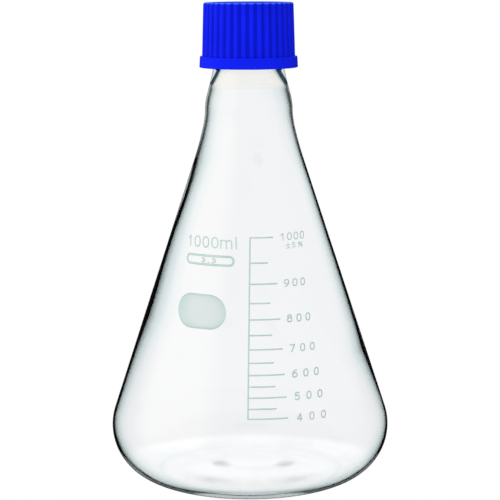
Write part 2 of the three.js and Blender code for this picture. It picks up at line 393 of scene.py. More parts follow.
corner_centre = (BODY_RADIUS - CORNER_RADIUS, CORNER_RADIUS)
cone_start = (
    corner_centre[0] + CORNER_RADIUS * math.cos(CONE_ANGLE),
    corner_centre[1] + CORNER_RADIUS * math.sin(CONE_ANGLE),
)


def cone_radius(z):
    return cone_start[0] - (z - cone_start[1]) * math.tan(CONE_ANGLE)


def cone_height(r):
    return cone_start[1] + (cone_start[0] - r) / math.tan(CONE_ANGLE)


def arc(centre, radius, start, end, steps):
    angles = [start + (end - start) * i / steps for i in range(steps + 1)]
    return [(centre[0] + radius * math.cos(a), centre[1] + radius * math.sin(a)) for a in angles]


def bezier(controls, steps):
    """Points along the Bezier curve of three or four control points."""
    degree = len(controls) - 1
    points = []
    for i in range(steps + 1):
        t = i / steps
        weights = [math.comb(degree, k) * (1 - t) ** (degree - k) * t**k for k in range(degree + 1)]
        points.append(tuple(sum(w * c[axis] for w, c in zip(weights, controls)) for axis in (0, 1)))
    return points


def straight(start, end, steps):
    return bezier([start, tuple((a + b) / 2 for a, b in zip(start, end)), end], steps)


def smooth(x):
    x = np.clip(x, 0, 1)
    return x * x * (3 - 2 * x)


def ridge(thread, angles, heights):
    """How far a thread stands off its wall, at every angle and height."""
    sweep = thread["turns"] * FULL_TURN
    slope = (thread["root"] - thread["crest"]) / 2
    tall = np.zeros(np.broadcast(angles, heights).shape)
    for turn in range(math.ceil(thread["turns"])):
        along = angles + turn * FULL_TURN
        centre = thread["bottom"] + PITCH * along / FULL_TURN
        across = smooth((thread["root"] / 2 - abs(heights - centre)) / slope)
        fade = smooth(np.minimum(along, sweep - along) / RUN_OUT)
        tall = np.maximum(tall, thread["depth"] * across * fade)
    return tall


def mesh_object(name, vertices, faces):
    mesh = bpy.data.meshes.new(name)
    mesh.from_pydata([tuple(v) for v in np.asarray(vertices) * MM], [], faces)
    mesh.validate()
    mesh.shade_smooth()
    piece = bpy.data.objects.new(name, mesh)
    bpy.context.scene.collection.objects.link(piece)
    return piece


def add_attribute(piece, name, values):
    attribute = piece.data.attributes.new(name, "FLOAT", "POINT")
    attribute.data.foreach_set("value", np.asarray(values, np.float32))


def turned(name, outline, segments, change=None):
    """A closed surface turned on the Z axis. The outline runs from the axis to the axis.

    change gives what is added to the radius at every height and angle, ring by ring.
    """
    angles = np.arange(segments) * FULL_TURN / segments
    rings = np.array(outline[1:-1], float)
    radii = np.repeat(rings[:, :1], segments, axis=1)
    heights = np.repeat(rings[:, 1:2], segments, axis=1)
    if change is not None:
        radii = radii + change(angles[None, :], heights)
    x = radii * np.cos(angles)
    y = radii * np.sin(angles)
    body = np.stack([x, y, heights], axis=-1).reshape(-1, 3)
    vertices = np.vstack([[0, 0, outline[0][1]], body, [0, 0, outline[-1][1]]])
    last = len(vertices) - 1
    top = last - segments
    faces = []
    for j in range(segments):
        k = (j + 1) % segments
        faces.append((0, 1 + k, 1 + j))
        faces.append((top + j, top + k, last))
    for i in range(len(rings) - 1):
        low = 1 + i * segments
        high = low + segments
        for j in range(segments):
            k = (j + 1) % segments
            faces.append((low + j, low + k, high + k, high + j))
    return mesh_object(name, vertices, faces)


def outer_outline():
    """The glass from the middle of the base, up the outside, to the top of the rim."""
    foot_inner = corner_centre[0] - FOOT_RING_WIDTH
    bend_start = (BEND_START_RADIUS, cone_height(BEND_START_RADIUS))
    bend_corner = (WAIST_RADIUS, cone_height(WAIST_RADIUS))
    waist = (WAIST_RADIUS, WAIST_BOTTOM)
    rim = (NECK_RADIUS - BORE_RADIUS) / 2
    rim_centre = (NECK_RADIUS - rim, GLASS_TOP - rim)
    thread_steps = round((THREAD_ZONE[1] - THREAD_ZONE[0]) / THREAD_STEP)
    neck = (NECK_RADIUS, NECK_BOTTOM)
    shoulder = [(WAIST_RADIUS, SHOULDER_TOP), (SHOULDER_RADIUS, SHOULDER_BOTTOM)]
    thread_low, thread_high = ((NECK_RADIUS, z) for z in THREAD_ZONE)
    return [
        *bezier([(0, FLOOR_RISE), (foot_inner / 2, FLOOR_RISE), (foot_inner, 0)], 16),
        *arc(corner_centre, CORNER_RADIUS, -math.pi / 2, CONE_ANGLE, 44),
        *straight(cone_start, bend_start, 30)[1:-1],
        *bezier([bend_start, bend_corner, waist], 20),
        *bezier([waist, *shoulder, neck], 24)[1:],
        *straight(neck, thread_low, 4)[1:],
        *straight(thread_low, thread_high, thread_steps)[1:],
        *arc(rim_centre, rim, 0, math.pi / 2, RIM_STEPS),
    ]


def inner_outline():
    """The glass from the top of the rim, down the inside, to the middle of the base."""
    foot_inner = corner_centre[0] - FOOT_RING_WIDTH
    rim = (NECK_RADIUS - BORE_RADIUS) / 2
    rim_centre = (NECK_RADIUS - rim, GLASS_TOP - rim)
    waist = (WAIST_RADIUS - WALL, WAIST_BOTTOM)
    inward = (-WALL * math.cos(CONE_ANGLE), -WALL * math.sin(CONE_ANGLE))
    bend_top = (BEND_START_RADIUS + inward[0], cone_height(BEND_START_RADIUS) + inward[1])
    shoulder = [(SHOULDER_RADIUS - WALL, SHOULDER_BOTTOM), (WAIST_RADIUS - WALL, SHOULDER_TOP)]
    bend_corner = (WAIST_RADIUS - WALL, cone_height(WAIST_RADIUS))
    corner = arc(corner_centre, CORNER_RADIUS - WALL, CONE_ANGLE, -math.pi / 2, 40)
    floor = FLOOR_RISE + FLOOR_THICKNESS
    return [
        *arc(rim_centre, rim, math.pi / 2, math.pi, RIM_STEPS)[1:],
        *straight((BORE_RADIUS, rim_centre[1]), (BORE_RADIUS, NECK_BOTTOM), 12)[1:],
        *bezier([(BORE_RADIUS, NECK_BOTTOM), *shoulder, waist], 24)[1:],
        *bezier([waist, bend_corner, bend_top], 20)[1:],
        *straight(bend_top, corner[0], 30)[1:-1],
        *corner,
        *bezier([(foot_inner, WALL), (foot_inner / 2, floor), (0, floor)], 16),
    ]


def make_flask_glass():
    """The glass. Its outer_wall attribute is 0 inside and under the middle of the base."""
    outside = outer_outline()
    outline = outside + inner_outline()
    outer_rings = len(outside) - 1

    def change(angles, heights):
        tall = ridge(NECK_THREAD, angles, heights)
        tall[outer_rings:] = 0
        tall[heights < THREAD_ZONE[0] - 1] = 0
        return tall

    piece = turned("flask_glass", outline, GLASS_SEGMENTS, change)
    heights = np.array([v.co.z for v in piece.data.vertices]) / MM
    radii = np.array([math.hypot(*v.co.xy) for v in piece.data.vertices]) / MM
    outer = np.where(np.arange(len(radii)) <= outer_rings * GLASS_SEGMENTS, 1.0, 0.0)
    outer *= smooth((radii - BASE_FADE_RADIUS) / BASE_FADE_WIDTH + heights)
    add_attribute(piece, "outer_wall", outer)
    return piece


def rib_groove(angles):
    """0 on the middle of a rib's crest and 1 + CREST_CROWN in the groove beside it."""
    spacing = FULL_TURN / RIB_COUNT
    share = (angles + math.pi / 2 - RIB_PHASE) / spacing
    from_crest = abs(share - np.round(share))
    flank = smooth((from_crest - CREST_SHARE) / FLANK_SHARE)
    return flank + CREST_CROWN * smooth(from_crest / CREST_SHARE)


def make_cap_shell():
    """The cap. Painted shade follows its groove attribute, 0 on the ribs; a painted highlight is 1
    on the top edge.
    """
    edge = BAND_EDGE
    roof = CAP_TOP - CAP_ROOF
    dish = CAP_TOP - ROOF_DISH_DEPTH
    bead = GLASS_TOP - BEAD_HEIGHT
    edge_centre = (RIB_TOP_RADIUS - CAP_EDGE, CAP_TOP - CAP_EDGE)
    dish_wall = [
        (ROOF_DISH_RADIUS - ROOF_DISH_SLOPE, dish),
        (ROOF_DISH_RADIUS, dish),
        (ROOF_DISH_RADIUS, CAP_TOP),
        (ROOF_DISH_RADIUS + ROOF_DISH_SLOPE, CAP_TOP),
    ]
    outline = [
        *((r, dish) for r in (0, 5, 10, ROOF_DISH_RADIUS - 1)),
        *bezier(dish_wall, 6),
        (ROOF_RING_RADIUS, CAP_TOP),
        *arc(edge_centre, CAP_EDGE, math.pi / 2, 0, CAP_EDGE_STEPS),
    ]
    edge_rings = range(len(outline) - CAP_EDGE_STEPS - 2, len(outline) - 1)
    rib_top = (RIB_TOP_RADIUS, edge_centre[1])
    rib_bottom = (RIB_BOTTOM_RADIUS, BAND_TOP + BAND_STEP)
    outline += straight(rib_top, rib_bottom, 14)[1:]
    outline.append((RIB_BOTTOM_RADIUS, BAND_TOP))
    ribbed_rings = len(outline) - 1
    band_top = (BAND_TOP_RADIUS, BAND_TOP - edge)
    band_bottom = (BAND_BOTTOM_RADIUS, CAP_BOTTOM + edge)
    outline += [
        (RIB_BOTTOM_RADIUS + BAND_STEP, BAND_TOP),
        *arc((BAND_TOP_RADIUS - edge, BAND_TOP - edge), edge, math.pi / 2, 0, 6),
        *straight(band_top, band_bottom, 5)[1:],
        *arc((BAND_BOTTOM_RADIUS - edge, CAP_BOTTOM + edge), edge, 0, -math.pi / 2, 6)[1:],
        *arc((MOUTH_RADIUS + edge, CAP_BOTTOM + edge), edge, -math.pi / 2, -math.pi, 5),
        (MOUTH_RADIUS, MOUTH_TOP),
        (MOUTH_RADIUS - CORNER_BREAK, MOUTH_TOP + BEVEL_END),
        (CAVITY_RADIUS + CORNER_BREAK, CAVITY_BOTTOM - BEVEL_END),
        (CAVITY_RADIUS, CAVITY_BOTTOM),
    ]
    thread_start = len(outline) - 1
    steps = round((CAP_THREAD_TOP - BAND_TOP) / THREAD_STEP)
    outline += straight((CAVITY_RADIUS, CAVITY_BOTTOM), (CAVITY_RADIUS, CAP_THREAD_TOP), steps)[1:]
    outline += [
        (CAVITY_RADIUS, GLASS_TOP - BEAD_HEIGHT * 3),
        (BEAD_RADIUS + CORNER_BREAK, bead - BEAD_LOWER_SLOPE),
        (BEAD_RADIUS, bead),
        (BEAD_RADIUS + CORNER_BREAK, bead + CORNER_BREAK),
        (CAVITY_RADIUS, GLASS_TOP),
        (CAVITY_RADIUS, roof - CORNER_BREAK),
        (CAVITY_RADIUS - CORNER_BREAK, roof),
        (10, roof),
        (0, roof),
    ]
    round_edge = np.linspace(0, math.pi / 2, CAP_EDGE_STEPS + 1)

    def change(angles, heights):
        depth = np.zeros(len(heights))
        depth[edge_rings.start : edge_rings.stop] = RIB_DEPTH * np.sin(round_edge)
        depth[edge_rings.stop : ribbed_rings] = RIB_DEPTH
        added = -depth[:, None] * rib_groove(angles)
        added[thread_start:] -= ridge(CAP_THREAD, angles, heights[thread_start:])
        return added

    segments = RIB_COUNT * SEGMENTS_PER_RIB
    piece = turned("cap_shell", outline, segments, change)
    piece.data.flip_normals()
    grooves = np.zeros((len(outline) - 2, segments))
    angles = np.arange(segments) * FULL_TURN / segments
    grooves[edge_rings.start : ribbed_rings - 1] = rib_groove(angles)
    # The groove attribute carries painted shade: the cap's colour is darker in the grooves.
    add_attribute(piece, "groove", np.concatenate([[0], grooves.ravel(), [0]]))
    # A painted highlight along the top edge, weaker in the grooves.
    edge_highlight = np.zeros((len(outline) - 2, segments))
    edge_highlight[edge_rings.start - 1 : edge_rings.stop - 1] = np.cos(round_edge)[:, None]
    edge_highlight *= 1 - HIGHLIGHT_LOST_IN_GROOVE * grooves
    add_attribute(piece, "painted_edge_highlight", np.concatenate([[0], edge_highlight.ravel(), [0]]))
    return piece


def make_liner():
    bottom = GLASS_TOP + LINER_GAP
    top = CAP_TOP - CAP_ROOF - LINER_GAP
    inner = LINER_RADIUS - LINER_EDGE
    outline = [
        *((r, bottom) for r in (0, 6, 12)),
        *arc((inner, bottom + LINER_EDGE), LINER_EDGE, -math.pi / 2, 0, 5),
        *arc((inner, top - LINER_EDGE), LINER_EDGE, 0, math.pi / 2, 5),
        *((r, top) for r in (12, 6, 0)),
    ]
    return turned("liner_disc", outline, LINER_SEGMENTS)


def on_cone(u, z, off):
    """The point that stands off the cone, outside its place (u, z)."""
    azimuth = u / cone_radius(z)
    r = cone_radius(z) + off * math.cos(CONE_ANGLE)
    return (r * math.sin(azimuth), -r * math.cos(azimuth), z + off * math.sin(CONE_ANGLE))


class Enamel:
    """Collects flat strokes and fields and wraps them on the cone as one mesh."""

    def __init__(self):
        self.vertices = []
        self.faces = []

    def strip(self, sections, closed=False):
        """A thin closed band through pairs of edge points. Each is (left, right, lift)."""
        first = len(self.vertices)
        for left, right, lift in sections:
            for off in (ENAMEL_GAP, ENAMEL_GAP + ENAMEL_THICKNESS):
                for u, z in (left, right):
                    self.vertices.append(on_cone(u, z, off + lift))
        count = len(sections)
        for i in range(count if closed else count - 1):
            a = first + 4 * i
            b = first + 4 * ((i + 1) % count)
            self.faces += [
                (a + 2, b + 2, b + 3, a + 3),
                (a + 1, b + 1, b, a),
                (a, b, b + 2, a + 2),
                (a + 3, b + 3, b + 1, a + 1),
            ]
        if not closed:
            a = first
            b = first + 4 * (count - 1)
            self.faces += [(a, a + 2, a + 3, a + 1), (b + 1, b + 3, b + 2, b)]

    def sheet(self, columns):
        """A thin closed sheet over columns of (u, z), each from the bottom to the top."""
        first = len(self.vertices)
        high = len(columns[0])
        layer = len(columns) * high
        for off in (ENAMEL_GAP, ENAMEL_GAP + ENAMEL_THICKNESS):
            self.vertices += [on_cone(u, z, off) for column in columns for u, z in column]
        for i in range(len(columns) - 1):
            for k in range(high - 1):
                a = first + i * high + k
                b = a + high
                self.faces.append((a, a + 1, b + 1, b))
                self.faces.append((layer + a, layer + b, layer + b + 1, layer + a + 1))
        rim = [i * high for i in range(len(columns))]
        rim += [(len(columns) - 1) * high + k for k in range(1, high)]
        rim += [i * high + high - 1 for i in range(len(columns) - 2, -1, -1)]
        rim += range(high - 2, 0, -1)
        for i, a in enumerate(rim):
            b = rim[(i + 1) % len(rim)]
            self.faces.append((first + a, first + b, first + layer + b, first + layer + a))

    def stroke(self, points, width, closed=False):
        """A line of even width with round ends through points of (u, z)."""
        path = resampled(points, closed)
        count = len(path)
        sections = []
        for i, (u, z) in enumerate(path):
            before = path[i - 1] if closed or i else path[0]
            after = path[(i + 1) % count] if closed or i < count - 1 else path[-1]
            along = unit((after[0] - before[0], after[1] - before[1]))
            lift = STROKE_LIFT * i / count
            sections.append(((u, z), along, width / 2, lift))
        if not closed:
            sections = round_end(sections[0], -1) + sections + round_end(sections[-1], 1)[::-1]
        self.strip([edges(s) for s in sections], closed)

    def piece(self, name):
        return mesh_object(name, self.vertices, self.faces)


def unit(v):
    size = math.hypot(*v) or 1
    return (v[0] / size, v[1] / size)


def edges(section):
    (u, z), along, half, lift = section
    side = (-along[1] * half, along[0] * half)
    return ((u + side[0], z + side[1]), (u - side[0], z - side[1]), lift)


def round_end(section, direction):
    """Sections that narrow to a round end beyond a stroke's first or last section."""
    (u, z), along, half, lift = section
    ends = []
    for degrees in (82, 60, 35):
        a = math.radians(degrees)
        reach = direction * half * math.sin(a)
        centre = (u + along[0] * reach, z + along[1] * reach)
        ends.append((centre, along, half * math.cos(a), lift))
    return ends


def resampled(points, closed):
    """The points with more between them, so that a stroke follows the cone."""
    pairs = list(zip(points, points[1:] + points[:1] if closed else points[1:]))
    path = []
    for a, b in pairs:
        steps = max(1, math.ceil(math.dist(a, b) / MAX_STEP))
        path += [tuple(p + (q - p) * i / steps for p, q in zip(a, b)) for i in range(steps)]
    return path if closed else path + [points[-1]]


def loop(centre, radii, start=0.0, end=360.0, squareness=2.0):
    """Points round an ellipse, or round a squarer one for a squareness above 2."""
    count = max(6, round(abs(end - start) / 15))
    points = []
    for i in range(count + 1):
        a = math.radians(start + (end - start) * i / count)
        c, s = math.cos(a), math.sin(a)
        points.append(
            (
                centre[0] + radii[0] * math.copysign(abs(c) ** (2 / squareness), c),
                centre[1] + radii[1] * math.copysign(abs(s) ** (2 / squareness), s),
            )
        )
    return points


# Each character is a list of strokes in a box of 1 by 1. A stroke is (points, closed).
ZERO = loop((0.5, 0.5), (0.5, 0.5), squareness=2.3)[:-1]
LOW_BOWL = loop((0.5, 0.31), (0.5, 0.31))[:-1]
CHARACTERS = {
    "0": [(ZERO, True)],
    "1": [([(0.1, 0.7), (0.6, 1), (0.6, 0)], False)],
    "3": [
        (loop((0.45, 0.76), (0.42, 0.24), 150, -90), False),
        (loop((0.45, 0.27), (0.5, 0.27), 90, -150), False),
    ],
    "4": [([(0.74, 0), (0.74, 1), (0, 0.27), (1, 0.27)], False)],
    "5": [
        ([(0.9, 1), (0.18, 1), (0.08, 0.52), *loop((0.48, 0.31), (0.5, 0.31), 130, -150)], False)
    ],
    "6": [(LOW_BOWL, True), (loop((0.78, 0.32), (0.78, 0.68), 180, 84), False)],
    "7": [([(0, 1), (1, 1), (0.36, 0)], False)],
    "8": [(LOW_BOWL, True), (loop((0.5, 0.8), (0.42, 0.2))[:-1], True)],
    "9": [
        (loop((0.5, 0.69), (0.5, 0.31))[:-1], True),
        (loop((0.22, 0.68), (0.78, 0.68), 0, -96), False),
    ],
    "m": [
        ([(0, 0), (0, 1)], False),
        ([*loop((0.25, 0.72), (0.25, 0.28), 180, 0), (0.5, 0)], False),
        ([*loop((0.75, 0.72), (0.25, 0.28), 180, 0), (1, 0)], False),
    ],
    "l": [([(0.5, 0), (0.5, 1)], False)],
    "+": [
        ([(0, 0.55), (1, 0.55)], False),
        ([(0.5, 1), (0.5, 0.1)], False),
        ([(0, -0.08), (1, -0.08)], False),
    ],
    "%": [
        (loop((0.2, 0.78), (0.2, 0.22))[:-1], True),
        (loop((0.8, 0.22), (0.2, 0.22))[:-1], True),
        ([(0.95, 1), (0.05, 0)], False),
    ],
    ".": [([(0.4, 0), (0.6, 0)], False)],
}


def write(enamel, character, centre, size, width):
    """Writes one character round a centre of (u, z)."""
    upright = size[1] * math.cos(CONE_ANGLE)
    for points, closed in CHARACTERS[character]:
        placed = [
            (centre[0] + (x - 0.5) * size[0], centre[1] + (y - 0.5) * upright) for x, y in points
        ]
        enamel.stroke(placed, width, closed)


def make_scale_print():
    enamel = Enamel()
    enamel.stroke([LINE_BOTTOM, LINE_TOP], LINE_WIDTH)
    for step, z in enumerate(GRADUATION_HEIGHTS):
        share = (z - LINE_BOTTOM[1]) / (LINE_TOP[1] - LINE_BOTTOM[1])
        start = LINE_BOTTOM[0] + (LINE_TOP[0] - LINE_BOTTOM[0]) * share
        lowest, more = MINOR_TICK_END if step % 2 else MAJOR_TICK_END
        reach = math.radians(lowest + more * share)
        enamel.stroke([(start, z), (cone_radius(z) * reach, z)], TICK_WIDTH)
    return enamel.piece("scale_print")


def make_numerals():
    enamel = Enamel()
    low = GRADUATION_HEIGHTS[0]
    high = GRADUATION_HEIGHTS[-1]
    lowest, more = NUMERAL_START
    for step in range(0, len(GRADUATION_HEIGHTS), 2):
        z = GRADUATION_HEIGHTS[step]
        text = str(FIRST_MARK_ML + MARK_STEP_ML * step)
        share = (z - low) / (high - low)
        first = math.radians(lowest + more * share * share)
        width = NUMERAL_STROKE * (1 - NUMERAL_THINNING * share**3)
        for place, character in enumerate(text):
            u = (first + NUMERAL_PITCH * place) * cone_radius(z)
            write(enamel, character, (u, z), NUMERAL_SIZE, width)
    return enamel.piece("scale_numerals")


def make_tolerance_mark():
    enamel = Enamel()
    for character, u, width in TOLERANCE_LAYOUT:
        size = (width, TOLERANCE_HEIGHT)
        write(enamel, character, (u, TOLERANCE_Z), size, TOLERANCE_STROKE)
    return enamel.piece("tolerance_mark")


def make_capacity_mark():
    enamel = Enamel()
    upright = math.cos(CONE_ANGLE)
    for character, u, width, tall in CAPACITY_LAYOUT:
        centre = (u, CAPACITY_BASELINE + tall / 2 * upright)
        write(enamel, character, centre, (width, tall), CAPACITY_STROKE)
    return enamel.piece("capacity_mark")


def make_glass_type_mark():
    """A plain outlined field with the glass type's number."""
    enamel = Enamel()
    centre_u, z = FIELD_CENTRE
    half_length, half_height = FIELD_HALF
    reach = half_length - half_height
    radii = (half_height, half_height)
    right = loop((centre_u + reach, z), radii, -90, 90)
    left = loop((centre_u - reach, z), radii, 90, 270)
    enamel.stroke(right + left, FIELD_STROKE, closed=True)
    for character, u, width in FIELD_LAYOUT:
        size = (width, FIELD_CHARACTER_HEIGHT)
        write(enamel, character, (centre_u + u, z), size, FIELD_CHARACTER_STROKE)
    return enamel.piece("glass_type_mark")


def make_spot():
    """The marking spot. Its field_middle attribute is 1 where the spot is lightest."""
    enamel = Enamel()
    half = SPOT_SIZE[1] / 2
    reach = SPOT_SIZE[0] / 2 - half
    upright = math.cos(CONE_ANGLE)
    across = [-math.cos(math.pi * i / SPOT_STEPS) for i in range(SPOT_STEPS + 1)]
    up = [2 * k / SPOT_ROWS - 1 for k in range(SPOT_ROWS + 1)]
    columns = []
    for a in across:
        u = SPOT_SIZE[0] / 2 * a
        beyond = max(0.0, abs(u) - reach)
        tall = max(SPOT_END_HEIGHT, math.sqrt(max(0.0, half * half - beyond * beyond))) * upright
        columns.append([(SPOT_CENTRE[0] + u, SPOT_CENTRE[1] + tall * b) for b in up])
    enamel.sheet(columns)
    piece = enamel.piece("marking_field")
    lighter_along = [smooth(1 + SPOT_LIGHTER_LENGTH - abs(a - SPOT_MIDDLE)) for a in across]
    lighter_up = [smooth(1 + SPOT_LIGHTER_HEIGHT - abs(b)) for b in up]
    add_attribute(piece, "field_middle", [a * b for a in lighter_along for b in lighter_up] * 2)
    return piece


class Nodes:
    """Adds nodes to a node tree. A source is a node's output, a number or a constant tone."""

    def __init__(self, tree):
        self.tree = tree
        tree.nodes.clear()

    def node(self, kind, **properties):
        made = self.tree.nodes.new("ShaderNode" + kind)
        for key, value in properties.items():
            setattr(made, key, value)
        return made

    def feed(self, source, socket):
        if isinstance(source, (int, float)):
            socket.default_value = source
        elif isinstance(source, tuple):
            socket.default_value = (*source, 1) if socket.type == "RGBA" else source
        else:
            self.tree.links.new(source, socket)

    def position(self, space="Object"):
        """The point that is shaded, or in a world's Generated space the direction looked in."""
        return self.node("TexCoord").outputs[space]

    def axes(self, vector):
        split = self.node("SeparateXYZ")
        self.feed(vector, split.inputs[0])
        return [split.outputs[axis] for axis in "XYZ"]

    def maths(self, operation, *sources):
        made = self.node("Math", operation=operation)
        for source, socket in zip(sources, made.inputs):
            self.feed(source, socket)
        return made.outputs[0]

    def vector(self, operation, *sources, output="Vector"):
        made = self.node("VectorMath", operation=operation)
        for source, socket in zip(sources, made.inputs):
            self.feed(source, socket)
        return made.outputs[output]

    def distance(self, x, y):
        return self.maths("SQRT", self.maths("MULTIPLY_ADD", x, x, self.maths("MULTIPLY", y, y)))

    def attribute(self, name):
        return self.node("Attribute", attribute_name=name).outputs["Fac"]

    def noise(self, scale, detail=2, stretch=(1, 1, 1)):
        mapping = self.node("Mapping")
        self.feed(stretch, mapping.inputs["Scale"])
        self.feed(self.position(), mapping.inputs["Vector"])
        texture = self.node("TexNoise")
        self.feed(scale, texture.inputs["Scale"])
        self.feed(detail, texture.inputs["Detail"])
        self.feed(mapping.outputs["Vector"], texture.inputs["Vector"])
        return texture.outputs["Fac"]

    def span(self, source, start, end, low=0, high=1, **properties):
        """Low at start, high at end, and between them a value in proportion."""
        made = self.node("MapRange", **properties)
        values = {"From Min": start, "From Max": end, "To Min": low, "To Max": high}
        for name, value in values.items():
            self.feed(value, made.inputs[name])
        self.feed(source, made.inputs["Value"])
        return made.outputs["Result"]

    def ramp(self, source, stops, interpolation="LINEAR"):
        """A tone that follows the stops, each (share, tone)."""
        made = self.node("ValToRGB")
        made.color_ramp.interpolation = interpolation
        elements = made.color_ramp.elements
        while len(elements) < len(stops):
            elements.new(0.5)
        for element, (share, tone) in zip(elements, stops):
            if not isinstance(tone, tuple):
                tone = (tone, tone, tone)
            element.position = share
            element.color = (*tone, 1)
        self.feed(source, made.inputs["Fac"])
        return made.outputs["Color"]

    def mix(self, factor, first, second, blend_type="MIX"):
        made = self.node("Mix", data_type="RGBA", blend_type=blend_type)
        for source, socket in ((factor, "Factor"), (first, 6), (second, 7)):
            self.feed(source, made.inputs[socket])
        return made.outputs[2]

    def multiply(self, first, second):
        return self.mix(1, first, second, "MULTIPLY")


class Material(Nodes):
    """A node material round one Principled shader."""

    def __init__(self, name, **values):
        self.material = bpy.data.materials.new(name)
        self.material.use_nodes = True
        super().__init__(self.material.node_tree)
        self.output = self.node("OutputMaterial")
        self.shader = self.node("BsdfPrincipled")
        self.feed(self.shader.outputs["BSDF"], self.output.inputs["Surface"])
        for socket, value in values.items():
            self.paint(value, socket.replace("_", " "))

    def paint(self, source, socket="Base Color"):
        self.feed(source, self.shader.inputs[socket])

    def bump(self, source, strength, distance):
        made = self.node("Bump")
        self.feed(strength, made.inputs["Strength"])
        self.feed(distance, made.inputs["Distance"])
        self.feed(source, made.inputs["Height"])
        self.paint(made.outputs["Normal"], "Normal")


def glass_material():
    """Clear glass, with painted shade where its outer wall turns away from the eye."""
    m = Material("borosilicate_glass", Transmission_Weight=1.0, IOR=GLASS_IOR, Roughness=0.0)
    x, y, z = m.axes(m.position())
    radius = m.distance(x, y)
    colour = painted_edge_shade(m, x, z, radius)
    colour = m.multiply(colour, weld_tone(m, z))
    m.paint(m.multiply(colour, base_ring_shade_and_clouds(m, x, y, z, radius)))
    absorption = m.node("VolumeAbsorption")
    m.feed(GLASS_ABSORPTION, absorption.inputs["Color"])
    m.feed(ABSORPTION_DENSITY, absorption.inputs["Density"])
    m.feed(absorption.outputs["Volume"], m.output.inputs["Volume"])
    return m.material


def painted_edge_shade(m, x, z, radius):
    """The dark edge lines, painted as shade in the glass's colour."""
    facing = m.node("LayerWeight")
    m.feed(0.5, facing.inputs["Blend"])
    cosine = m.maths("SUBTRACT", 1, facing.outputs["Facing"])
    squared = m.maths("MULTIPLY", cosine, cosine)
    depth = m.maths("MULTIPLY", squared, m.maths("MULTIPLY", radius, 0.5))
    front_height = m.maths("MULTIPLY_ADD", m.maths("SQRT", depth), FRONT_CURVE, FRONT_LOWEST)
    above = m.maths("SUBTRACT", z, front_height)
    depth = m.maths("MULTIPLY", depth, m.span(above, 0, FRONT_BLEND, FRONT_WIDENING, 1))
    height = m.span(z, 0, THINNING_TOP)
    sideways = m.maths("DIVIDE", x, radius)
    left = m.ramp(height, THINNING_LEFT)
    right = m.ramp(height, THINNING_RIGHT)
    thinning = m.mix(m.span(sideways, -SIDE_BLEND, SIDE_BLEND), left, right)
    depth = m.maths("MULTIPLY", depth, thinning)

    # The painted edge lines wander a little, as over a wall that isn't quite even.
    wave = m.maths("SUBTRACT", m.noise(28, stretch=(1, 1, 0.5)), 0.5)
    wave = m.maths("MULTIPLY", wave, WAVE_DEPTH)
    wave = m.maths("MULTIPLY", wave, m.span(z, *WAVE_ZONE, WAVE_AT_BOTTOM, 1))
    streaks = m.maths("SUBTRACT", m.noise(700, stretch=(0.06, 0.06, 1)), 0.5)
    streaks = m.maths("MULTIPLY", streaks, m.span(z, *STREAK_ZONE, STREAK_DEPTH, 0))
    depth = m.maths("ADD", m.maths("ADD", depth, wave), streaks)

    # The inner wall is past every stop, so it has no lines.
    inner = m.maths("SUBTRACT", 1, m.attribute("outer_wall"))
    share = m.maths("ADD", m.maths("MULTIPLY", depth, 1 / EDGE_SPAN), EDGE_START)
    share = m.maths("ADD", share, inner)
    left_shift = m.ramp(height, LEFT_SHIFT)
    left_shift = m.maths("MULTIPLY", left_shift, m.span(sideways, *LEFT_SHIFT_ZONE, 1, 0))
    cone_share = m.maths("SUBTRACT", share, left_shift)
    neck_shift = m.span(z, *NECK_SHIFT_ZONE, 0, NECK_SHIFT / EDGE_SPAN)
    neck_share = m.maths("SUBTRACT", share, neck_shift)
    tone = m.ramp(cone_share, CONE_TONES)
    tone = m.mix(m.span(z, *SHOULDER_ZONE), tone, m.ramp(share, SHOULDER_TONES))
    tone = m.mix(m.span(z, *NECK_ZONE), tone, m.ramp(neck_share, NECK_TONES))
    tone = m.mix(m.span(z, *CORNER_ZONE, 1, 0), tone, m.ramp(share, CORNER_TONES))
    tone = m.mix(m.span(z, *HEEL_ZONE, 1, 0), tone, m.ramp(share, HEEL_TONES))
    return m.mix(m.span(above, *FOOT_ZONE, 1, 0), tone, m.ramp(share, FOOT_TONES))


def weld_tone(m, z):
    """The faint bands of the weld."""
    noise = m.noise(60, detail=3, stretch=(0.05, 0.05, 8))
    change = m.span(noise, 0.35, 0.65, -WELD_UNEVENNESS, WELD_UNEVENNESS)
    return m.ramp(m.span(m.maths("ADD", z, change), *WELD_ZONE), WELD_TONES)


def base_ring_shade_and_clouds(m, x, y, z, radius):
    """Painted shade for the mould rings, and faint clouds, in the base."""
    ring_x = m.maths("SUBTRACT", x, RING_CENTRE[0])
    ring_y = m.maths("SUBTRACT", y, RING_CENTRE[1])
    ring_radius = m.distance(ring_x, ring_y)
    side = m.maths("DIVIDE", m.maths("ABSOLUTE", ring_x), m.maths("MAXIMUM", ring_radius, 0.001))
    reach = m.maths("MULTIPLY", ring_radius, 1 / RING_SPAN)
    small = m.multiply(m.ramp(reach, SMALL_RING), m.ramp(side, SMALL_RING_SIDES))
    large = m.multiply(m.ramp(reach, LARGE_RING), m.ramp(side, LARGE_RING_SIDES))
    uneven = m.span(m.noise(120, detail=3), 0.4, 0.55, 0.6, 1)
    front = m.span(ring_y, *RING_FRONT_TO_BACK, 1, RING_BACK_STRENGTH)
    rings = m.maths("MULTIPLY", m.maths("MULTIPLY", m.maths("ADD", large, small), uneven), front)
    edge_ring = m.ramp(m.maths("MULTIPLY", radius, 1 / RING_SPAN), EDGE_RING)
    cloud = m.span(m.noise(70), 0.45, 0.6, 0, BASE_CLOUD)
    shade = m.maths("ADD", m.maths("ADD", rings, edge_ring), cloud)
    shade = m.maths("MULTIPLY", shade, m.span(z, *BASE_ZONE, 1, 0))
    return m.ramp(shade, [(0, WHITE), (1, BASE_SHADE)])


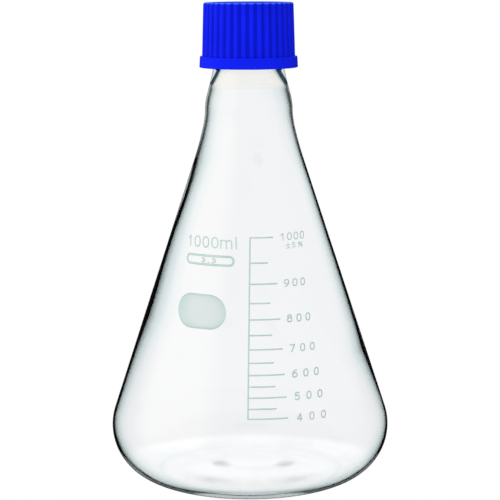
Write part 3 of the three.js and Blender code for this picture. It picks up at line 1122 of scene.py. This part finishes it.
def cap_material():
    m = Material("blue_polypropylene", IOR=1.49, Specular_IOR_Level=0.035)
    patches = m.noise(60, detail=3)
    crest = m.ramp(patches, [(0.3, (0.0027, 0.0115, 0.74)), (0.7, (0.0032, 0.0135, 0.82))])
    # Painted shade: the grooves are painted darker than the crests.
    groove_shade = m.ramp(patches, [(0.3, (0.0018, 0.0065, 0.52)), (0.7, (0.0022, 0.008, 0.6))])
    # Painted highlight: the top edge is painted a lighter blue.
    painted_highlight = m.ramp(patches, [(0.3, (0.045, 0.2, 0.97)), (0.7, (0.1, 0.3, 1.0))])
    colour = m.mix(m.attribute("groove"), crest, groove_shade)
    m.paint(m.mix(m.attribute("painted_edge_highlight"), colour, painted_highlight))
    m.paint(m.span(patches, 0, 1, 0.34, 0.44), "Roughness")
    m.bump(m.noise(1600, detail=3), 0.15, CAP_GRAIN)
    return m.material


def enamel_material(name, dark, light, middle=None):
    """Fired enamel. The middle attribute marks where it is lighter."""
    m = Material(name, Roughness=0.6, IOR=1.5)
    patches = m.noise(160)
    if middle:
        lighter_middle = m.maths("MULTIPLY_ADD", m.attribute(middle), 0.6, 0.1)
        patches = m.maths("MULTIPLY_ADD", patches, 0.3, lighter_middle)
    m.paint(m.ramp(patches, [(0.3, dark), (0.7, light)]))
    m.bump(m.noise(1500, detail=3), 0.3, ENAMEL_GRAIN)
    return m.material


def liner_material():
    m = Material("silicone", IOR=1.41)
    patches = m.noise(140, detail=4)
    m.paint(m.ramp(patches, [(0.3, (0.74, 0.71, 0.63)), (0.7, (0.82, 0.8, 0.73))]))
    m.paint(m.span(patches, 0, 1, 0.55, 0.75), "Roughness")
    m.bump(m.noise(1800), 0.3, LINER_GRAIN)
    return m.material


def make_floor():
    """A glowing disc, white to the eye, with painted shade and light under the flask for rays
    through the glass.
    """
    rim = arc((0, 0), FLOOR_RADIUS, 0, FULL_TURN, FLOOR_SEGMENTS)[:-1]
    rim = [(x, y, FLOOR_HEIGHT) for x, y in rim]
    faces = [(0, 1 + i, 1 + (i + 1) % FLOOR_SEGMENTS) for i in range(FLOOR_SEGMENTS)]
    mesh = bpy.data.meshes.new("light_table")
    mesh.from_pydata([(0, 0, FLOOR_HEIGHT), *rim], [], faces)
    floor = bpy.data.objects.new("light_table", mesh)
    bpy.context.scene.collection.objects.link(floor)
    material = bpy.data.materials.new("white_table")
    material.use_nodes = True
    n = Nodes(material.node_tree)
    place = n.position()
    away = n.vector("LENGTH", place, output="Value")
    away = n.span(away, *FLOOR_UNDER_FLASK, interpolation_type="SMOOTHSTEP")
    under = n.span(
        n.axes(place)[1],
        *FLOOR_FRONT_TO_BACK,
        FLOOR_FRONT_TONE,
        FLOOR_BACK_TONE,
        interpolation_type="SMOOTHSTEP",
    )
    seen = n.node("LightPath").outputs["Is Camera Ray"]
    glow = n.node("Emission")
    n.feed(n.mix(seen, n.mix(away, under, THROUGH), WHITE), glow.inputs["Color"])
    n.feed(glow.outputs[0], n.node("OutputMaterial").inputs["Surface"])
    mesh.materials.append(material)
    floor.visible_diffuse = False
    floor.visible_glossy = False
    floor.visible_shadow = False


def make_world():
    """A white backdrop all round, with a darker room for what is seen by reflection."""
    world = bpy.data.worlds.new("studio")
    bpy.context.scene.world = world
    world.use_nodes = True
    n = Nodes(world.node_tree)
    direction = n.position("Generated")
    _, y, z = n.axes(direction)

    def eased(source, stops):
        """A grey that follows stops of (value, grey), for values from -1 to 1."""
        shares = [((value + 1) / 2, grey) for value, grey in stops]
        return n.ramp(n.span(source, -1, 1), shares, "EASE")

    def toward(light):
        return n.vector("DOT_PRODUCT", direction, light, output="Value")

    height = eased(z, [(-1, 1), (0.45, 1), (0.8, 0.6), (1, 0.6)])
    through = n.vector("MULTIPLY", height, THROUGH)
    room = eased(z, [(-1, 0.01), (0.06, 0.01), (0.12, 0.25), (0.2, 0.4), (0.6, 0.4), (0.85, 1)])
    behind = eased(y, [(-1, 0.25), (0, 0.25), (0.5, 1), (1, 1)])
    glow = eased(toward(SOFTBOX), [(-1, 0), (0.7, 0), (0.98, 1.25), (1, 1.35)])
    softbox = n.vector("MULTIPLY", glow, WARM)
    mirrored = n.vector("ADD", n.vector("MULTIPLY", room, behind), softbox)
    dome = eased(toward(FILL), [(-1, 0.45), (1, 1.35)])
    path = n.node("LightPath")
    colour = n.mix(path.outputs["Is Diffuse Ray"], WHITE, dome)
    colour = n.mix(path.outputs["Is Glossy Ray"], colour, mirrored)
    colour = n.mix(path.outputs["Is Transmission Ray"], colour, through)
    colour = n.mix(path.outputs["Is Camera Ray"], colour, WHITE)
    world.cycles.sampling_method = "NONE"
    background = n.node("Background")
    n.feed(colour, background.inputs["Color"])
    n.feed(background.outputs[0], n.node("OutputWorld").inputs["Surface"])


def make_camera():
    data = bpy.data.cameras.new("camera")
    data.sensor_width = SENSOR_WIDTH
    data.lens = LENS
    data.clip_start = 0.01
    data.clip_end = 20
    camera = bpy.data.objects.new("camera", data)
    camera.matrix_world = (
        Matrix.Translation((CAMERA_SIDE, -CAMERA_DISTANCE, CAMERA_HEIGHT))
        @ Matrix.Rotation(math.pi / 2 - CAMERA_PITCH, 4, "X")
        @ Matrix.Rotation(CAMERA_ROLL, 4, "Z")
    )
    bpy.context.scene.collection.objects.link(camera)
    bpy.context.scene.camera = camera


def fit(piece, material, body, slot, *nodes):
    piece.data.materials.append(material)
    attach(piece, body)
    if nodes:
        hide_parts(*nodes)


scene = bpy.context.scene
scene.view_settings.view_transform = "Standard"

# Light passes many glass surfaces on its way through the flask and its base.
scene.cycles.max_bounces = 32
scene.cycles.transmission_bounces = 28
scene.cycles.glossy_bounces = 12
scene.cycles.use_denoising = True

make_camera()
make_world()
make_floor()

lines = enamel_material("enamel_lines", (0.42, 0.56, 0.525), (0.48, 0.62, 0.585))
field = enamel_material("enamel_field", (0.47, 0.59, 0.56), (0.58, 0.635, 0.635), "field_middle")
fit(make_flask_glass(), glass_material(), "flask", "glass", "flask_body")
fit(make_cap_shell(), cap_material(), "cap", "cap", "screw_cap")
fit(make_liner(), liner_material(), "liner", "liner", "cap_liner")
fit(make_scale_print(), lines, "flask", "enamel", "scale_lines")
fit(make_spot(), field, "flask", "enamel", "marking_spot")
for made in (make_numerals(), make_tolerance_mark(), make_capacity_mark(), make_glass_type_mark()):
    fit(made, lines, "flask", "enamel")
